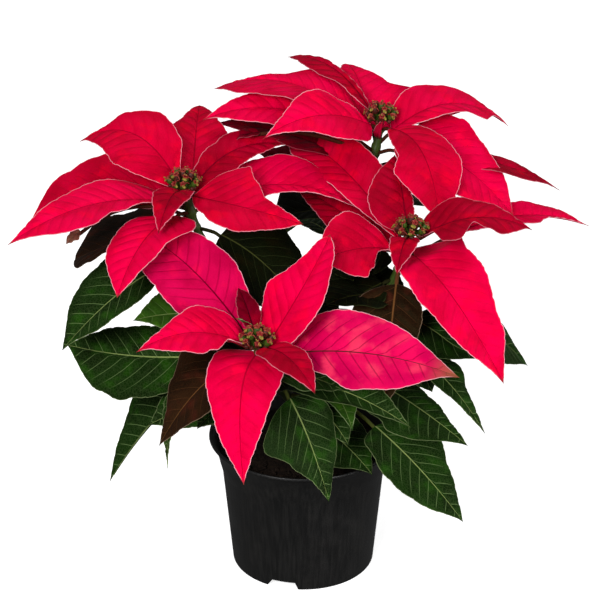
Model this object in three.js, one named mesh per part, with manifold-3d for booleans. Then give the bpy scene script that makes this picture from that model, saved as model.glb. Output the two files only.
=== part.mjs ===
// A potted poinsettia: four flowering stems in a 12 cm nursery pot, each with a whorl of red bracts
// round a cluster of small flowers, and green leaves below. Millimetres, +Z up. The origin is the
// middle of the pot's base, and -Y is the front.
import * as THREE from "three";
import { mergeVertices } from "three/addons/utils/BufferGeometryUtils.js";
import Module from "manifold-3d";

const wasm = await Module();
wasm.setup();

// ---- Driving dimensions ----

const GAP = 0.3; // between pieces that touch

const POT = {
  height: 90,
  sides: 40,
  footCorner: 1.4,
  // The outside of the tapered wall and of the rim that flares out from it, as [radius, height].
  outside: [[45.4, 0], [51.6, 66], [53.2, 72], [54.6, 78], [56.4, 83], [58.4, 87], [60, 88.6]],
  bead: 0.4, // the rim's outer corner
  wall: 1.8,
  floor: 4, // the floor's upper face
  channel: { inner: 14, outer: 38, rise: 2.4 }, // a raised ring under the floor
  drain: { count: 6, radius: 4, at: 27, sides: 10 },
};

// The notches let water out from under the pot. One side of a notch is steep and one slopes.
const NOTCH = { count: 3, first: -106, steepSide: 10, slopedSide: 12, top: 15, rise: 5.6, depth: 12 };

const SOIL = { top: 81, crown: 1.5, crownRadius: 30 };

const TRUNK = { bottom: 52, top: 112, footRadius: 6.2, topRadius: 4.6 };

const BRANCH = { footRadius: 3.4, topRadius: 2.3, sides: 8, steps: 11 };

// A flower cluster: one urn-shaped flower in the middle and two rings of them, each on a short
// stalk from a disc on the top of the stem. height is from the top of the stem to the urn's middle.
const CLUSTER = {
  dropToStem: 7,
  discRadius: 4,
  discHeight: 3,
  rings: [
    { count: 1, out: 0, radius: 2.8, height: 8.5 },
    { count: 5, out: 5, radius: 2.6, height: 7.5 },
    { count: 5, out: 9, radius: 2.4, height: 6.5 },
  ],
  stretch: 1.4, // an urn is this much taller than it is wide
  stalkRadius: 1.1,
  stalkFoot: { share: 0.35, height: 1.5 }, // share of the ring's radius where the stalk starts
};

// Where each flowering stem starts on the trunk, where its flower cluster is, and the step down
// the stem from the cluster to the bend.
const STEMS = {
  left: { foot: [-2, 0, 104], cluster: [-73.6, 5, 266], lean: [-8, 2, 40] },
  back: { foot: [1, 2, 110], cluster: [49, 70, 283], lean: [6, 12, 42] },
  right: { foot: [2, -1, 100], cluster: [65.5, -20, 246], lean: [8, -4, 40] },
  front: { foot: [0, -3, 96], cluster: [-27.6, -85, 204], lean: [-6, -22, 38] },
};
const STEM_SPREAD = 22; // how far a stem heads outwards while it climbs the first STEM_CLIMB
const STEM_CLIMB = 38;

// One row for each bract or leaf:
// stem, distance below the top of the stem, tip, stalk, width, rise and sway of the midrib over
// the straight line from base to tip, roll in degrees, outline powers [base, tip], and skew,
// the share by which the half to the left of the midrib is wider than the right one.
const BRACTS = {
  left_1: ["left", 13, [-177, -50, 247], 12, 50, 15, 0, -8, [0.6, 1.25], 0.15],
  left_2: ["left", 15, [-169, 12, 233], 12, 48, 9, 0, -20, [0.55, 1], -0.4],
  left_3: ["left", 11, [-139, 40, 275], 8, 44, 21, -8, -20, [0.9, 0.9], 0.1],
  left_4: ["left", 17, [-66, 95, 276], 12, 48, 10, 0, 0, [0.6, 0.9], 0],
  left_5: ["left", 8, [-8, 50, 268], 6, 38, 11, 8, 14, [0.5, 1.15], 0.3],
  left_6: ["left", 5, [0, -30, 251], 8, 56, 7, -10, 20, [0.75, 1.15], 0.15],
  left_7: ["left", 4, [-87, -45, 252], 7, 24, 11, 0, 0, [0.55, 1.15], 0],
  left_8: ["left", 17, [-111, -75, 224], 16, 48, 12, -4, 8, [0.75, 1.15], 0],
  left_9: ["left", 18, [38, 18, 238], 16, 50, 19, 0, 8, [0.55, 1.15], 0],
  back_1: ["back", 6, [-25, 25, 283], 8, 48, 13, 0, -25, [0.6, 1.5], 0],
  back_2: ["back", 12, [-57, 98, 286], 16, 42, 20, 0, 0, [0.55, 1.15], 0],
  back_3: ["back", 21, [-63, 55, 283], 18, 44, 18, 0, -15, [0.55, 1.15], 0],
  back_4: ["back", 5, [-10, 135, 293], 14, 26, 13, -4, 0, [0.55, 1.15], 0],
  back_5: ["back", 17, [29, 140, 286], 12, 50, 11, 0, 12, [0.55, 1], -0.3],
  back_6: ["back", 17, [132, 104, 258], 14, 42, 22, 0, 8, [0.75, 1.15], 0.2],
  back_7: ["back", 22, [132, 34, 226], 14, 65, 20, 0, 12, [0.8, 1.15], 0],
  back_8: ["back", 6, [84, -4, 238], 10, 48, 18, 7, 0, [0.8, 1.15], 0],
  back_9: ["back", 31, [164, 72, 227], 20, 28, 15, 0, 0, [0.55, 1.15], 0],
  right_1: ["right", 12, [-10, 88, 258], 8, 34, 14.3, 0, -15, [0.9, 0.8], -0.2],
  right_2: ["right", 18, [-7, 55, 240], 14, 34, 3, 0, -10, [0.55, 1.15], 0],
  right_3: ["right", 7, [139, -25, 245], 8, 44, 13, 0, 10, [0.55, 1.15], 0.15],
  right_4: ["right", 26, [184, 76, 200], 45, 34, 19.5, 0, 10, [0.55, 1.15], -0.15],
  right_5: ["right", 12, [120, -90, 174], 10, 60, 17, -4, 0, [0.55, 1.15], 0.15],
  right_6: ["right", 3, [56, -54, 229], 4, 18, 8, 0, 0, [0.55, 1.15], 0],
  right_7: ["right", 13, [9, -45, 233], 10, 54, 6, 0, -28, [0.9, 1.15], 0],
  right_8: ["right", 5, [57, 42, 265], 6, 30, 5, 0, 0, [0.6, 1.15], 0.5],
  front_1: ["front", 14, [-103, -18, 241], 10, 58, 13, 0, -25, [0.85, 1.15], 0.1],
  front_2: ["front", 7, [-98, -112, 207], 8, 48, 13, 0, -15, [0.55, 1.3], -0.05],
  front_3: ["front", 9, [-35, -150, 139], 6, 43, 16, -6, 0, [0.4, 1.15], 0],
  front_4: ["front", 4, [7, -130, 189], 6, 30, 10, 0, 0, [0.7, 1.15], 0],
  front_5: ["front", 15, [92, -110, 189], 12, 58, 10, 0, 27, [0.6, 1.2], 0],
  front_6: ["front", 13, [16, -38, 248], 6, 42, 12, -9, 0, [0.75, 1.15], 0],
  front_7: ["front", 9, [-39, -56, 221], 12, 15, 5, 0, 0, [0.8, 1], 0],
};

const LEAVES = {
  "01": ["left", 45, [-149, -30, 165], 26, 50, 13, 0, -10, [0.55, 1.15], -0.4],
  "02": ["left", 118, [-148, 0, 153], 44, 72, -8, 0, -35, [0.55, 1.15], 0],
  "03": ["left", 36, [-140, 10, 205], 24, 50, 12, 0, 0, [0.55, 0.5], 0],
  "04": ["left", 140, [-125, 5, 51], 40, 50, 30, 0, -35, [0.4, 1.15], -0.25],
  "05": ["front", 30, [-87, -100, 137], 20, 54, 20, 0, 0, [0.55, 1.15], 0],
  "06": ["left", 28, [-2, -20, 193], 16, 66, 10, 0, 10, [0.55, 1.15], 0],
  "07": ["front", 40, [16, -90, 92], 20, 54, 14, 0, 0, [0.55, 1.15], 0.1],
  "08": ["right", 26, [49, -80, 152], 12, 50, 10, 0, 0, [0.55, 1.15], 0],
  "09": ["right", 60, [105, -50, 163], 24, 46, 10, 0, 0, [0.55, 1.15], 0],
  "10": ["right", 45, [140, -20, 149], 24, 52, 14, 0, 0, [0.55, 1.15], 0],
  "11": ["right", 85, [112, -60, 123], 30, 24, 20, 0, 0, [0.55, 1.15], 0],
  "12": ["right", 105, [100, -80, 126], 26, 46, 4, 0, 0, [0.55, 1.15], -0.3],
  "13": ["right", 130, [99, -75, 69], 42, 58, 10, 0, 0, [0.55, 1.15], -0.05],
  "14": ["front", 85, [28, -62, 116], 14, 40, 10, 0, 0, [0.55, 1.15], 0],
  "15": ["front", 118, [43, -55, 91], 14, 44, 6, 0, 0, [0.55, 1.15], 0],
  "16": ["back", 60, [-20, 48, 218], 20, 50, 4, 0, 0, [0.55, 1.15], 0],
  "17": ["right", 60, [9, 5, 211], 20, 62, 8, 0, -20, [0.55, 1.15], 0],
  "18": ["left", 80, [-120, 85, 150], 26, 60, 16, 0, 0, [0.55, 1.15], 0],
  "19": ["back", 90, [-20, 140, 150], 26, 62, 20, 0, 0, [0.55, 1.15], 0],
  "20": ["back", 60, [115, 120, 165], 26, 60, 20, 0, 0, [0.55, 1.15], 0],
};

const BLADE = {
  fold: 7, // degrees that each half rises from the midrib
  stalkRadius: 1.2,
  ribThickness: 1.2,
  edgeThickness: 0.6,
  tipHalfWidth: 0.4,
  stations: [0, 0.06, 0.17, 0.32, 0.49, 0.67, 0.85, 1],
};

// ---- Solids ----

const UP = new THREE.Vector3(0, 0, 1);
const vector = (xyz) => new THREE.Vector3(...xyz);
const radians = THREE.MathUtils.degToRad;

function solidOf(geometry) {
  const bare = geometry.index ? geometry.clone() : geometry;
  bare.deleteAttribute("normal");
  bare.deleteAttribute("uv");
  const merged = mergeVertices(bare, 1e-4);
  return new wasm.Manifold(
    new wasm.Mesh({
      numProp: 3,
      vertProperties: merged.attributes.position.array,
      triVerts: new Uint32Array(merged.index.array),
    }),
  );
}

function geometryOf(solid) {
  const mesh = solid.getMesh();
  const geometry = new THREE.BufferGeometry();
  geometry.setAttribute("position", new THREE.BufferAttribute(mesh.vertProperties, 3));
  geometry.setIndex(new THREE.BufferAttribute(mesh.triVerts, 1));
  geometry.computeVertexNormals();
  return geometry;
}

// A closed solid through a list of rings that all have the same number of points, turning
// anticlockwise when seen from the last ring.
function loft(rings) {
  const sides = rings[0].length;
  const points = rings.flat();
  const faces = [];
  for (let ring = 0; ring + 1 < rings.length; ring++) {
    for (let side = 0; side < sides; side++) {
      const a = ring * sides + side;
      const b = ring * sides + ((side + 1) % sides);
      faces.push(a, b, b + sides, a, b + sides, a + sides);
    }
  }
  const last = (rings.length - 1) * sides;
  for (let side = 1; side + 1 < sides; side++) {
    faces.push(0, side + 1, side, last, last + side, last + side + 1);
  }
  const geometry = new THREE.BufferGeometry().setFromPoints(points);
  geometry.setIndex(faces);
  return geometry;
}

// A lathe about Z. The profile is [radius, height] pairs from the axis round to the axis,
// anticlockwise.
function turned(profile, sides) {
  const points = profile.map(([radius, height]) => new THREE.Vector2(radius, height));
  return new THREE.LatheGeometry(points, sides).rotateX(Math.PI / 2);
}

// ---- Stems ----

const clusterOf = (name) => vector(STEMS[name].cluster);
const stemTop = (name) => clusterOf(name).addScaledVector(UP, -CLUSTER.dropToStem);

function stemCurve(name) {
  const foot = vector(STEMS[name].foot);
  const top = stemTop(name);
  const outwards = new THREE.Vector3(top.x, top.y, 0).setLength(STEM_SPREAD);
  const start = foot.clone().add(outwards).addScaledVector(UP, STEM_CLIMB);
  const bend = top.clone().sub(vector(STEMS[name].lean));
  return new THREE.CubicBezierCurve3(foot, start, bend, top);
}

const stemCurves = Object.fromEntries(Object.keys(STEMS).map((name) => [name, stemCurve(name)]));

function tube(curve, sides, footRadius, topRadius, steps, extra) {
  const rings = [];
  const grow = 1 / Math.cos(Math.PI / sides);
  for (let step = 0; step <= steps; step++) {
    const along = step / steps;
    const centre = curve.getPointAt(along);
    const tangent = curve.getTangentAt(along);
    const side = new THREE.Vector3(0, 1, 0).cross(tangent).normalize();
    const other = tangent.clone().cross(side);
    const radius = THREE.MathUtils.lerp(footRadius, topRadius, along) + extra * grow;
    const ring = [];
    for (let corner = 0; corner < sides; corner++) {
      const angle = (2 * Math.PI * corner) / sides;
      const point = centre.clone();
      point.addScaledVector(side, radius * Math.cos(angle));
      point.addScaledVector(other, radius * Math.sin(angle));
      ring.push(point);
    }
    rings.push(ring);
  }
  return solidOf(loft(rings));
}

// The woody trunk with its four stems, grown together, and fatter by extra all round.
function stemSolid(extra) {
  const trunkLine = new THREE.LineCurve3(
    new THREE.Vector3(0, 0, TRUNK.bottom),
    new THREE.Vector3(0, 0, TRUNK.top),
  );
  let solid = tube(trunkLine, BRANCH.sides, TRUNK.footRadius, TRUNK.topRadius, 2, extra);
  for (const curve of Object.values(stemCurves)) {
    const { sides, footRadius, topRadius, steps } = BRANCH;
    solid = solid.add(tube(curve, sides, footRadius, topRadius, steps, extra));
  }
  return solid;
}

// ---- Bracts and leaves ----

function outline(along, [basePower, tipPower]) {
  const widest = basePower / (basePower + tipPower);
  const peak = widest ** basePower * (1 - widest) ** tipPower;
  return (along ** basePower * (1 - along) ** tipPower) / peak;
}

function bladeSolid(row, keepClear) {
  const [stem, below, tipAt, stalk, width, rise, sway, roll, powers, skew] = row;
  const curve = stemCurves[stem];
  const base = curve.getPointAt(1 - below / curve.getLength());
  const tip = vector(tipAt);
  const heading = tip.clone().sub(base).setZ(0).normalize();
  const leftwards = new THREE.Vector3(-heading.y, heading.x, 0);
  const control = base.clone().add(tip).multiplyScalar(0.5);
  control.addScaledVector(UP, 2 * rise).addScaledVector(leftwards, 2 * sway);
  const midrib = new THREE.QuadraticBezierCurve3(base, control, tip);
  const length = midrib.getLength();

  // The half widths on the left and right, how far each half rises, and the thickness of the
  // rib and of the edges, at a distance along the midrib.
  function ringAt(distance, left, right, lift, rib, edge) {
    const centre = midrib.getPointAt(distance / length);
    const tangent = midrib.getTangentAt(distance / length);
    const side = leftwards.clone().addScaledVector(tangent, -leftwards.dot(tangent)).normalize();
    side.applyAxisAngle(tangent, radians(roll));
    const normal = tangent.clone().cross(side);
    const place = (across, up) =>
      centre.clone().addScaledVector(side, across).addScaledVector(normal, up);
    return [
      place(left, left * lift - edge / 2),
      place(left, left * lift + edge / 2),
      place(0, rib / 2),
      place(-right, right * lift + edge / 2),
      place(-right, right * lift - edge / 2),
      place(0, -rib / 2),
    ];
  }

  const { stalkRadius, ribThickness, edgeThickness, tipHalfWidth } = BLADE;
  const rings = [0, 0.6].map((share) =>
    ringAt(share * stalk, stalkRadius, stalkRadius, 0, 2 * stalkRadius, stalkRadius),
  );
  for (const along of BLADE.stations) {
    const half = (width / 2) * outline(along, powers);
    const least = THREE.MathUtils.lerp(stalkRadius, tipHalfWidth, along);
    const left = Math.max(half * (1 + skew), least);
    const right = Math.max(half * (1 - skew), least);
    const lift = Math.tan(radians(BLADE.fold));
    const distance = THREE.MathUtils.lerp(stalk, length, along);
    rings.push(ringAt(distance, left, right, lift, ribThickness, edgeThickness));
  }
  return solidOf(loft(rings)).subtract(keepClear);
}

// ---- Flower clusters ----

// A ring of small urn-shaped flowers round one in the middle, on the top of a stem.
function clusterSolid(name, keepClear) {
  const { discRadius, discHeight, stalkRadius, stalkFoot } = CLUSTER;
  const bottom = stemTop(name).addScaledVector(UP, GAP);
  const disc = new THREE.CylinderGeometry(discRadius, discRadius, discHeight, BRANCH.sides);
  disc.rotateX(Math.PI / 2).translate(bottom.x, bottom.y, bottom.z + discHeight / 2);
  let solid = solidOf(disc);
  for (const ring of CLUSTER.rings) {
    for (let i = 0; i < ring.count; i++) {
      const angle = (2 * Math.PI * i) / ring.count + ring.out;
      const outwards = new THREE.Vector3(Math.cos(angle), Math.sin(angle), 0);
      const centre = bottom.clone().addScaledVector(outwards, ring.out);
      centre.z += ring.height;
      const foot = bottom.clone().addScaledVector(outwards, stalkFoot.share * ring.out);
      foot.z += stalkFoot.height;
      const urn = new THREE.SphereGeometry(ring.radius, 6, 3).rotateX(Math.PI / 2);
      urn.scale(1, 1, CLUSTER.stretch).translate(centre.x, centre.y, centre.z);
      const stalk = tube(new THREE.LineCurve3(foot, centre), 4, stalkRadius, stalkRadius, 1, 0);
      solid = solid.add(solidOf(urn)).add(stalk);
    }
  }
  return solid.subtract(keepClear);
}

// ---- Pot and soil ----

// The radius inside the pot's wall at a height.
function insideRadius(height) {
  const upper = POT.outside.findIndex(([, end]) => end >= height);
  const [radius, end] = POT.outside[upper];
  const [radiusBelow, start] = POT.outside[upper - 1];
  const share = (height - start) / (end - start);
  return THREE.MathUtils.lerp(radiusBelow, radius, share) - POT.wall;
}

const insidePoint = (height, gap) => [insideRadius(height) - gap, height];
const bendHeights = POT.outside.slice(1).map(([, height]) => height);

function notchCut() {
  const { steepSide, slopedSide, top, rise, depth } = NOTCH;
  const below = -1;
  const shape = new THREE.Shape();
  shape.moveTo(-slopedSide, below);
  shape.lineTo(steepSide, below);
  shape.lineTo(top / 2, rise);
  shape.lineTo(-top / 2, rise);
  const cut = new THREE.ExtrudeGeometry(shape, { depth, bevelEnabled: false });
  return cut.rotateX(Math.PI / 2).translate(0, -POT.channel.outer + POT.channel.rise, 0);
}

function potSolid() {
  const { channel, footCorner, outside, bead, height, wall, floor, drain } = POT;
  const [footRadius] = outside.at(0);
  const [rimRadius] = outside.at(-1);
  const profile = [
    [0, 0],
    [channel.inner, 0],
    [channel.inner + channel.rise, channel.rise],
    [channel.outer - channel.rise, channel.rise],
    [channel.outer, 0],
    [footRadius - footCorner, 0],
    [footRadius, footCorner],
    ...outside.slice(1),
    [rimRadius - bead, height],
    [rimRadius - wall, height],
    ...bendHeights.slice(0, -1).reverse().map((bend) => insidePoint(bend, 0)),
    insidePoint(floor, 0),
    [0, floor],
  ];
  let solid = solidOf(turned(profile, POT.sides));
  for (let i = 0; i < drain.count; i++) {
    const angle = (2 * Math.PI * i) / drain.count;
    const hole = new THREE.CylinderGeometry(drain.radius, drain.radius, 3 * floor, drain.sides);
    hole.rotateX(Math.PI / 2).translate(drain.at * Math.cos(angle), drain.at * Math.sin(angle), 0);
    solid = solid.subtract(solidOf(hole));
  }
  for (let i = 0; i < NOTCH.count; i++) {
    const turn = radians(NOTCH.first + 90 + (360 * i) / NOTCH.count);
    solid = solid.subtract(solidOf(notchCut().rotateZ(turn)));
  }
  return solid;
}

// The soil fills the pot, with a hole for the trunk.
function soilSolid(trunk) {
  const bottom = POT.floor + GAP;
  const edge = SOIL.top - SOIL.crown;
  const profile = [
    [0, bottom],
    insidePoint(bottom, GAP),
    ...bendHeights.filter((bend) => bend < edge).map((bend) => insidePoint(bend, GAP)),
    insidePoint(edge, GAP),
    [SOIL.crownRadius, SOIL.top],
    [0, SOIL.top],
  ];
  const holeRadius = TRUNK.footRadius + 2 * GAP;
  const holeDepth = SOIL.top - TRUNK.bottom + GAP;
  const hole = new THREE.CylinderGeometry(holeRadius, holeRadius, 2 * holeDepth, BRANCH.sides);
  hole.rotateX(Math.PI / 2).translate(0, 0, SOIL.top);
  return solidOf(turned(profile, POT.sides)).subtract(trunk).subtract(solidOf(hole));
}

// ---- The plant ----

const finish = {
  pot: { color: 0x262626, roughness: 0.45, metalness: 0 },
  soil: { color: 0x1d1511, roughness: 0.95, metalness: 0 },
  stem: { color: 0x5f7a3a, roughness: 0.6, metalness: 0 },
  flower: { color: 0x7d8a2c, roughness: 0.5, metalness: 0 },
  bract: { color: 0xd80a3c, roughness: 0.5, metalness: 0 },
  leaf: { color: 0x1f3d1a, roughness: 0.5, metalness: 0 },
};

const poinsettia = new THREE.Group();
poinsettia.name = "poinsettia";

function addPiece(name, kind, solid) {
  const material = new THREE.MeshStandardMaterial(finish[kind]);
  material.side = THREE.DoubleSide;
  const mesh = new THREE.Mesh(geometryOf(solid), material);
  mesh.name = name;
  poinsettia.add(mesh);
}

const clearOfStem = stemSolid(GAP);
addPiece("pot", "pot", potSolid());
addPiece("soil", "soil", soilSolid(clearOfStem));
addPiece("stem", "stem", stemSolid(0));
for (const name of Object.keys(STEMS)) {
  addPiece("cyathia_" + name, "flower", clusterSolid(name, clearOfStem));
}
for (const [name, row] of Object.entries(BRACTS)) {
  addPiece("bract_" + name, "bract", bladeSolid(row, clearOfStem));
}
for (const [name, row] of Object.entries(LEAVES)) {
  addPiece("leaf_" + name, "leaf", bladeSolid(row, clearOfStem));
}

export default poinsettia;
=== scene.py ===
"""A potted poinsettia: red bracts and green leaves with veined, quilted blades, small green
flowers, branching stems, soil, and a black nursery pot. Sizes are in millimetres until a mesh is
made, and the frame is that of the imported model: +Z up, -Y the front, origin under the pot."""

import math

import bmesh
import bpy
import numpy as np
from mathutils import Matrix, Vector


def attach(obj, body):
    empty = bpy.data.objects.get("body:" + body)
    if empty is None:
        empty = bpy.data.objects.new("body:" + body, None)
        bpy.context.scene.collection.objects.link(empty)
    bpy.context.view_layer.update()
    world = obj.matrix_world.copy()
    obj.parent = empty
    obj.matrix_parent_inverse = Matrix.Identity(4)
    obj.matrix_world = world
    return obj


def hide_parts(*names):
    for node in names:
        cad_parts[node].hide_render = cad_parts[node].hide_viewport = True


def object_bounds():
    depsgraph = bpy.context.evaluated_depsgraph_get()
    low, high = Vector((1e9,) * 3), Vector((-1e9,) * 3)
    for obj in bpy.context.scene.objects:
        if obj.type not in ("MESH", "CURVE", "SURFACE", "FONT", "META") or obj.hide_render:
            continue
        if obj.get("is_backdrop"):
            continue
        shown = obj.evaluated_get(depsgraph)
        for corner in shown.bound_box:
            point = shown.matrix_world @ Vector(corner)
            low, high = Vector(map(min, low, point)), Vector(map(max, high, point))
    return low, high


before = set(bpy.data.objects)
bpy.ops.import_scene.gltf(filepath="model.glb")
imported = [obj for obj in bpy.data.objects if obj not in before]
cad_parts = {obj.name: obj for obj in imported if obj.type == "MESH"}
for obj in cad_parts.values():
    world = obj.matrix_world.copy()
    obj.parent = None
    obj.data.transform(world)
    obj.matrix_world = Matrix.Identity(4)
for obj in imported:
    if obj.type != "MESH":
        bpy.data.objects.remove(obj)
cad_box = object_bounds()

MM = 0.001
UP = np.array([0.0, 0.0, 1.0])

# ---- Driving dimensions, the same as in the construction ----

POT_HEIGHT = 90
POT_OUTSIDE = [(45.4, 0), (51.6, 66), (53.2, 72), (54.6, 78), (56.4, 83), (58.4, 87), (60, 88.6)]
POT_WALL = 1.8
POT_FLOOR = 4
CHANNEL_INNER, CHANNEL_OUTER, CHANNEL_RISE = 14, 38, 2.4
DRAIN_COUNT, DRAIN_RADIUS, DRAIN_AT = 6, 4, 27
NOTCH_COUNT, NOTCH_FIRST, NOTCH_RISE, NOTCH_DEPTH = 3, -106, 5.6, 12
NOTCH_STEEP, NOTCH_SLOPED, NOTCH_TOP = 10, 12, 15
SOIL_TOP, SOIL_CROWN, SOIL_CROWN_RADIUS = 81, 1.5, 30

TRUNK_BOTTOM, TRUNK_TOP, TRUNK_FOOT_RADIUS, TRUNK_TOP_RADIUS = 52, 112, 6.2, 4.6
STEM_FOOT_RADIUS, STEM_TOP_RADIUS = 3.4, 2.3
STEM_SPREAD, STEM_CLIMB = 22, 38
DROP_TO_STEM = 7

# Where each flowering stem starts, where its flower cluster is, and the step down from the
# cluster to the stem's bend.
STEMS = {
    "left": ((-2, 0, 104), (-73.6, 5, 266), (-8, 2, 40)),
    "back": ((1, 2, 110), (49, 70, 283), (6, 12, 42)),
    "right": ((2, -1, 100), (65.5, -20, 246), (8, -4, 40)),
    "front": ((0, -3, 96), (-27.6, -85, 204), (-6, -22, 38)),
}
LEFT, BACK, RIGHT, FRONT = STEMS


# ---- Paths ----

class Path:
    """A Bezier curve that is followed by distance along it."""

    def __init__(self, controls, steps=240):
        share = np.linspace(0, 1, steps + 1)[:, None]
        layers = [np.array(control, float) for control in controls]
        while len(layers) > 1:
            layers = [a * (1 - share) + b * share for a, b in zip(layers, layers[1:])]
        self.points = layers[0]
        pieces = np.linalg.norm(np.diff(self.points, axis=0), axis=1)
        self.distances = np.concatenate([[0], np.cumsum(pieces)])
        self.length = self.distances[-1]

    def at(self, distance):
        columns = [np.interp(distance, self.distances, self.points[:, k]) for k in range(3)]
        return np.stack(columns, axis=-1)

    def heading(self, distance, reach=1.0):
        return unit(self.at(distance + reach) - self.at(distance - reach))


def unit(vectors):
    return vectors / np.linalg.norm(vectors, axis=-1, keepdims=True)


def smoothstep(low, high, value):
    share = np.clip((value - low) / (high - low), 0, 1)
    return share * share * (3 - 2 * share)


def stem_path(name):
    foot, cluster, lean = (np.array(point, float) for point in STEMS[name])
    top = cluster - DROP_TO_STEM * UP
    outwards = STEM_SPREAD * unit(top * [1, 1, 0])
    return Path([foot, foot + outwards + STEM_CLIMB * UP, top - lean, top])


PATHS = {name: stem_path(name) for name in STEMS}


# ---- Meshes ----

SHARP = 60  # degrees between faces that don't shade as one


class Soup:
    """Collects closed surfaces for one mesh. Either all or none of them have a place in the bake,
    and all have the same values at their points for the materials."""

    def __init__(self):
        self.points, self.faces, self.slots = [], [], []
        self.bake, self.values = [], {}

    def add(self, points, faces, slot=0, bake=None, **values):
        start = sum(len(block) for block in self.points)
        self.points.append(points)
        self.faces.extend(tuple(start + i for i in face) for face in faces)
        self.slots.extend([slot] * len(faces))
        if bake is not None:
            self.bake.append(bake)
        for name, value in values.items():
            self.values.setdefault(name, []).append(value)

    def make(self, name, materials):
        points = np.concatenate(self.points)
        mesh = bpy.data.meshes.new(name)
        mesh.from_pydata((points * MM).tolist(), [], self.faces)
        mesh.polygons.foreach_set("material_index", self.slots)
        mesh.shade_smooth()
        mesh.set_sharp_from_angle(angle=math.radians(SHARP))
        if self.bake:
            corner_points = np.zeros(len(mesh.loops), int)
            mesh.loops.foreach_get("vertex_index", corner_points)
            layer = mesh.uv_layers.new(name="OFBake")
            layer.data.foreach_set("uv", np.concatenate(self.bake)[corner_points].ravel())
        for key, blocks in self.values.items():
            attribute = mesh.attributes.new(key, "FLOAT_VECTOR", "POINT")
            attribute.data.foreach_set("vector", np.concatenate(blocks).ravel())
        for material in materials:
            mesh.materials.append(material)
        piece = bpy.data.objects.new(name, mesh)
        bpy.context.scene.collection.objects.link(piece)
        return piece


def quads(rows, columns, ring=False):
    """Faces between the neighbours in a grid of points; a ring joins its last column to its first."""
    faces = []
    for row in range(rows - 1):
        for column in range(columns if ring else columns - 1):
            a = row * columns + column
            b = row * columns + (column + 1) % columns
            faces.append((a, a + columns, b + columns, b))
    return faces


def closed_rings(rows, sides):
    """The faces of a stack of rings: its wall and its two ends."""
    faces = [tuple(reversed(face)) for face in quads(rows, sides, ring=True)]
    faces.append(tuple(reversed(range(sides))))
    faces.append(tuple(sides * (rows - 1) + i for i in range(sides)))
    return faces


def round_steps(count):
    return np.linspace(0, 2 * math.pi, count, endpoint=False)


def in_columns(*values):
    return np.stack(np.broadcast_arrays(*values), axis=1)


def tube(centres, headings, radii, sides, upward=UP):
    """A closed tube through the centres: its points and faces."""
    side = unit(np.cross(upward, headings))
    other = np.cross(headings, side)
    angle = round_steps(sides)
    radii = np.broadcast_to(np.asarray(radii, float).reshape(len(radii), -1), (len(centres), sides))
    spread = side[:, None] * np.cos(angle)[:, None] + other[:, None] * np.sin(angle)[:, None]
    points = (centres[:, None] + spread * radii[..., None]).reshape(-1, 3)
    return points, closed_rings(len(centres), sides)


def hand_in(piece, slot, *nodes):
    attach(piece, "root")
    if nodes:
        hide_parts(*nodes)


# ---- Materials ----

class Graph:
    """Builds the nodes of one material. Each method returns the socket that it makes."""

    def __init__(self, name):
        self.material = bpy.data.materials.new(name)
        self.material.use_nodes = True
        self.tree = self.material.node_tree
        self.shader = self.tree.nodes["Principled BSDF"]

    def node(self, kind, output=0, settings=None, **inputs):
        node = self.tree.nodes.new("ShaderNode" + kind)
        for key, value in (settings or {}).items():
            setattr(node, key, value)
        for key, value in inputs.items():
            self.put(node.inputs[int(key[1:]) if key[1:].isdigit() else key], value)
        return node.outputs[output]

    def put(self, socket, value):
        if isinstance(value, bpy.types.NodeSocket):
            self.tree.links.new(value, socket)
        elif isinstance(value, tuple) and len(value) == 3 and socket.type == "RGBA":
            socket.default_value = (*value, 1)
        else:
            socket.default_value = value

    def attribute(self, name):
        return self.node("Attribute", "Vector", {"attribute_name": name})

    def parts(self, vector):
        node = self.tree.nodes.new("ShaderNodeSeparateXYZ")
        self.put(node.inputs[0], vector)
        return node.outputs[:]

    def math(self, operation, a, b=0.0):
        return self.node("Math", 0, {"operation": operation}, _0=a, _1=b)

    def times(self, a, b):
        return self.math("MULTIPLY", a, b)

    def ramp(self, value, low, high, start=0.0, end=1.0):
        settings = {"interpolation_type": "SMOOTHSTEP"}
        return self.node("MapRange", 0, settings, _0=value, _1=low, _2=high, _3=start, _4=end)

    def mix(self, share, a, b):
        node = self.tree.nodes.new("ShaderNodeMix")
        node.data_type = "RGBA"
        self.put(node.inputs[0], share)
        self.put(node.inputs[6], a)
        self.put(node.inputs[7], b)
        return node.outputs[2]

    def stretch(self, vector, x, y, z=1.0):
        return self.node("VectorMath", 0, {"operation": "MULTIPLY"}, _0=vector, _1=(x, y, z))

    def noise(self, vector, scale, detail=3.0, roughness=0.5):
        inputs = {"Vector": vector, "Scale": scale, "Detail": detail, "Roughness": roughness}
        return self.node("TexNoise", 0, **inputs)

    def place(self):
        """The place on the object in millimetres."""
        here = self.node("TexCoord", "Object")
        return self.stretch(here, 1 / MM, 1 / MM, 1 / MM)

    def finish(self, colour, roughness, height=None, **constants):
        """height is in millimetres."""
        self.put(self.shader.inputs["Base Color"], colour)
        self.put(self.shader.inputs["Roughness"], roughness)
        for key, value in constants.items():
            self.put(self.shader.inputs[key.replace("_", " ")], value)
        if height is not None:
            self.put(self.shader.inputs["Normal"], self.node("Bump", 0, None, Height=height, Distance=MM))
        return self.material


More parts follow.
